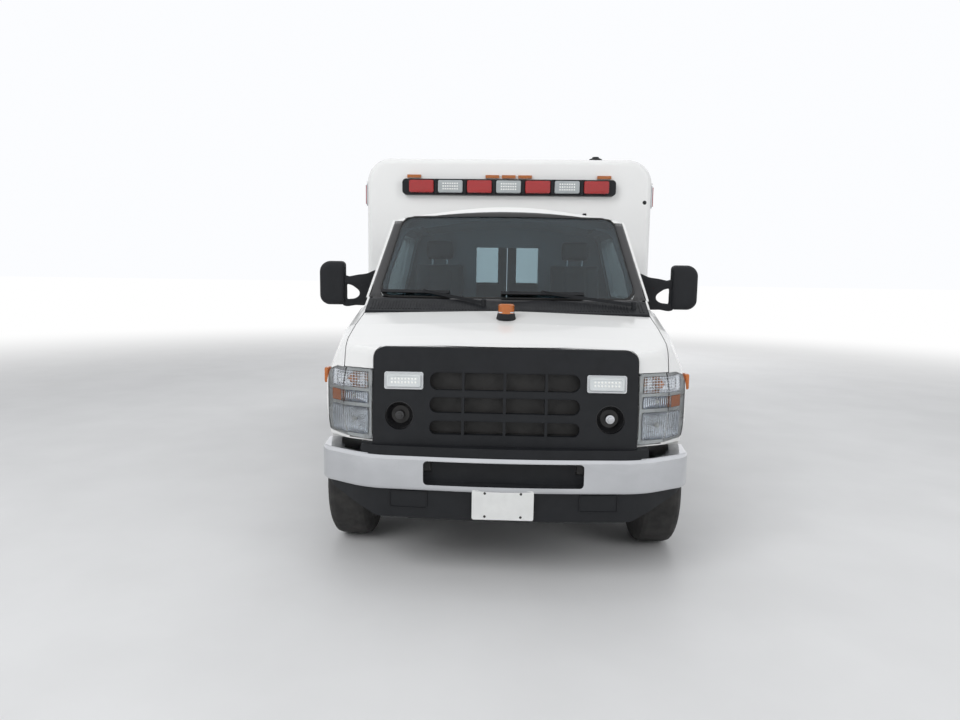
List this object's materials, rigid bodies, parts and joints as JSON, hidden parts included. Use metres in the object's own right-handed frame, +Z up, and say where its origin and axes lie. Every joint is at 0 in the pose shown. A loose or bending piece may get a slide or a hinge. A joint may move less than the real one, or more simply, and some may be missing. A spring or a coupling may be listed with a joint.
{
  "type": "ambulance",
  "caption": "White van-cab ambulance with a box module, opening doors, hood and lockers, steered front wheels and twin rear wheels.",
  "frame": {"origin": "On the ground under the middle of the vehicle's bounding box.", "axes": "+X to the vehicle's left, +Y to its rear, +Z up."},
  "size_m": [2.47, 6.3061, 2.539],
  "materials": {
    "white_paint": "gloss",
    "chassis_black": "satin",
    "chrome": "polished",
    "black_plastic": "fine texture",
    "clear_lens": "clear gloss",
    "red_lens": "clear gloss",
    "amber_lens": "clear gloss",
    "glass": "polished",
    "rubber": "matt",
    "tyre": "matt",
    "wheel_steel": "polished",
    "cast_iron": "as cast",
    "tread_plate": "bright tread",
    "grey_vinyl": "grained vinyl",
    "grey_trim": "grained",
    "cabinet_white": "laminate"
  },
  "bodies": {
    "chassis": {"frame": "chassis_black", "suspension": "chassis_black", "rear_axle": "cast_iron", "engine": "cast_iron", "fuel_tank": "chassis_black", "exhaust": "wheel_steel", "radiator_support": "chassis_black", "front_bumper": "chrome", "bumper_trim": "black_plastic", "grille": "black_plastic", "siren_speakers": "chrome", "grille_lamps": "clear_lens", "headlamps": "chrome", "headlamp_lenses": "clear_lens", "fenders": "white_paint", "cowl": "black_plastic", "cab_shell": "white_paint", "windscreen": "glass", "cab_floor": "grey_trim", "dashboard": "grey_trim", "cab_seats": "grey_vinyl", "module_front_wall": "white_paint", "module_rear_wall": "white_paint", "module_roof": "white_paint", "module_left_wall": "white_paint", "module_right_wall": "white_paint", "module_floor": "tread_plate", "module_cabinets": "cabinet_white", "bench_cushion": "grey_vinyl", "roof_equipment": "black_plastic", "light_bar_heads": "red_lens", "module_lamps": "red_lens", "steps": "tread_plate", "wheel_flares": "rubber"},
    "hood_body": {"hood": "white_paint", "hood_beacon": "amber_lens"},
    "cab_door_left_body": {"cab_door_left": "white_paint", "cab_glass_left": "glass", "mirror_left": "black_plastic"},
    "cab_door_right_body": {"cab_door_right": "white_paint", "cab_glass_right": "glass", "mirror_right": "black_plastic"},
    "side_door_body": {"side_door": "white_paint", "side_door_glass": "glass"},
    "rear_door_left_body": {"rear_door_left": "white_paint", "rear_glass_left": "glass"},
    "rear_door_right_body": {"rear_door_right": "white_paint", "rear_glass_right": "glass"},
    "locker_door_left_body": {"locker_door_left": "white_paint"},
    "locker_door_right_body": {"locker_door_right": "white_paint"},
    "steer_left_body": {"knuckle_left": "cast_iron"},
    "steer_right_body": {"knuckle_right": "cast_iron"},
    "front_wheel_left": {"tyre_front_left": "tyre", "wheel_front_left": "wheel_steel"},
    "front_wheel_right": {"tyre_front_right": "tyre", "wheel_front_right": "wheel_steel"},
    "rear_wheels_left": {"tyres_rear_left": "tyre", "wheels_rear_left": "wheel_steel"},
    "rear_wheels_right": {"tyres_rear_right": "tyre", "wheels_rear_right": "wheel_steel"}
  },
  "joints": [
    {"name": "hood_hinge", "type": "hinge", "parent": "chassis", "child": "hood_body", "pos_m": [0, -2.455, 1.372], "axis": [-1, 0, 0], "range_deg": [0, 50]},
    {"name": "cab_door_left_hinge", "type": "hinge", "parent": "chassis", "child": "cab_door_left_body", "pos_m": [1.005, -1.9, 0.9], "axis": [0, 0, -1], "range_deg": [0, 65]},
    {"name": "cab_door_right_hinge", "type": "hinge", "parent": "chassis", "child": "cab_door_right_body", "pos_m": [-1.005, -1.9, 0.9], "axis": [0, 0, 1], "range_deg": [0, 65]},
    {"name": "side_door_hinge", "type": "hinge", "parent": "chassis", "child": "side_door_body", "pos_m": [-1.143, -0.535, 1.3], "axis": [0, 0, 1], "range_deg": [0, 100]},
    {"name": "rear_door_left_hinge", "type": "hinge", "parent": "chassis", "child": "rear_door_left_body", "pos_m": [0.652, 2.955, 1.5], "axis": [0, 0, -1], "range_deg": [0, 150]},
    {"name": "rear_door_right_hinge", "type": "hinge", "parent": "chassis", "child": "rear_door_right_body", "pos_m": [-0.652, 2.955, 1.5], "axis": [0, 0, 1], "range_deg": [0, 150]},
    {"name": "locker_door_left_hinge", "type": "hinge", "parent": "chassis", "child": "locker_door_left_body", "pos_m": [1.143, -0.605, 1.3], "axis": [0, 0, -1], "range_deg": [0, 100]},
    {"name": "locker_door_right_hinge", "type": "hinge", "parent": "chassis", "child": "locker_door_right_body", "pos_m": [-1.143, 1.995, 1.3], "axis": [0, 0, 1], "range_deg": [0, 100]},
    {"name": "steer_left", "type": "hinge", "parent": "chassis", "child": "steer_left_body", "pos_m": [0.78, -2.355, 0.372], "axis": [0, 0, 1], "range_deg": [-32, 32]},
    {"name": "steer_right", "type": "hinge", "parent": "chassis", "child": "steer_right_body", "pos_m": [-0.78, -2.355, 0.372], "axis": [0, 0, 1], "range_deg": [-32, 32]},
    {"name": "spin_front_left", "type": "hinge", "parent": "steer_left_body", "child": "front_wheel_left", "pos_m": [0.8815, -2.355, 0.372], "axis": [1, 0, 0], "continuous": true},
    {"name": "spin_front_right", "type": "hinge", "parent": "steer_right_body", "child": "front_wheel_right", "pos_m": [-0.8815, -2.355, 0.372], "axis": [1, 0, 0], "continuous": true},
    {"name": "spin_rear_left", "type": "hinge", "parent": "chassis", "child": "rear_wheels_left", "pos_m": [0.9525, 1.15, 0.372], "axis": [1, 0, 0], "continuous": true},
    {"name": "spin_rear_right", "type": "hinge", "parent": "chassis", "child": "rear_wheels_right", "pos_m": [-0.9525, 1.15, 0.372], "axis": [1, 0, 0], "continuous": true}
  ],
  "couplings": [
    {"joint": "steer_right", "follows": "steer_left", "ratio": 1}
  ]
}
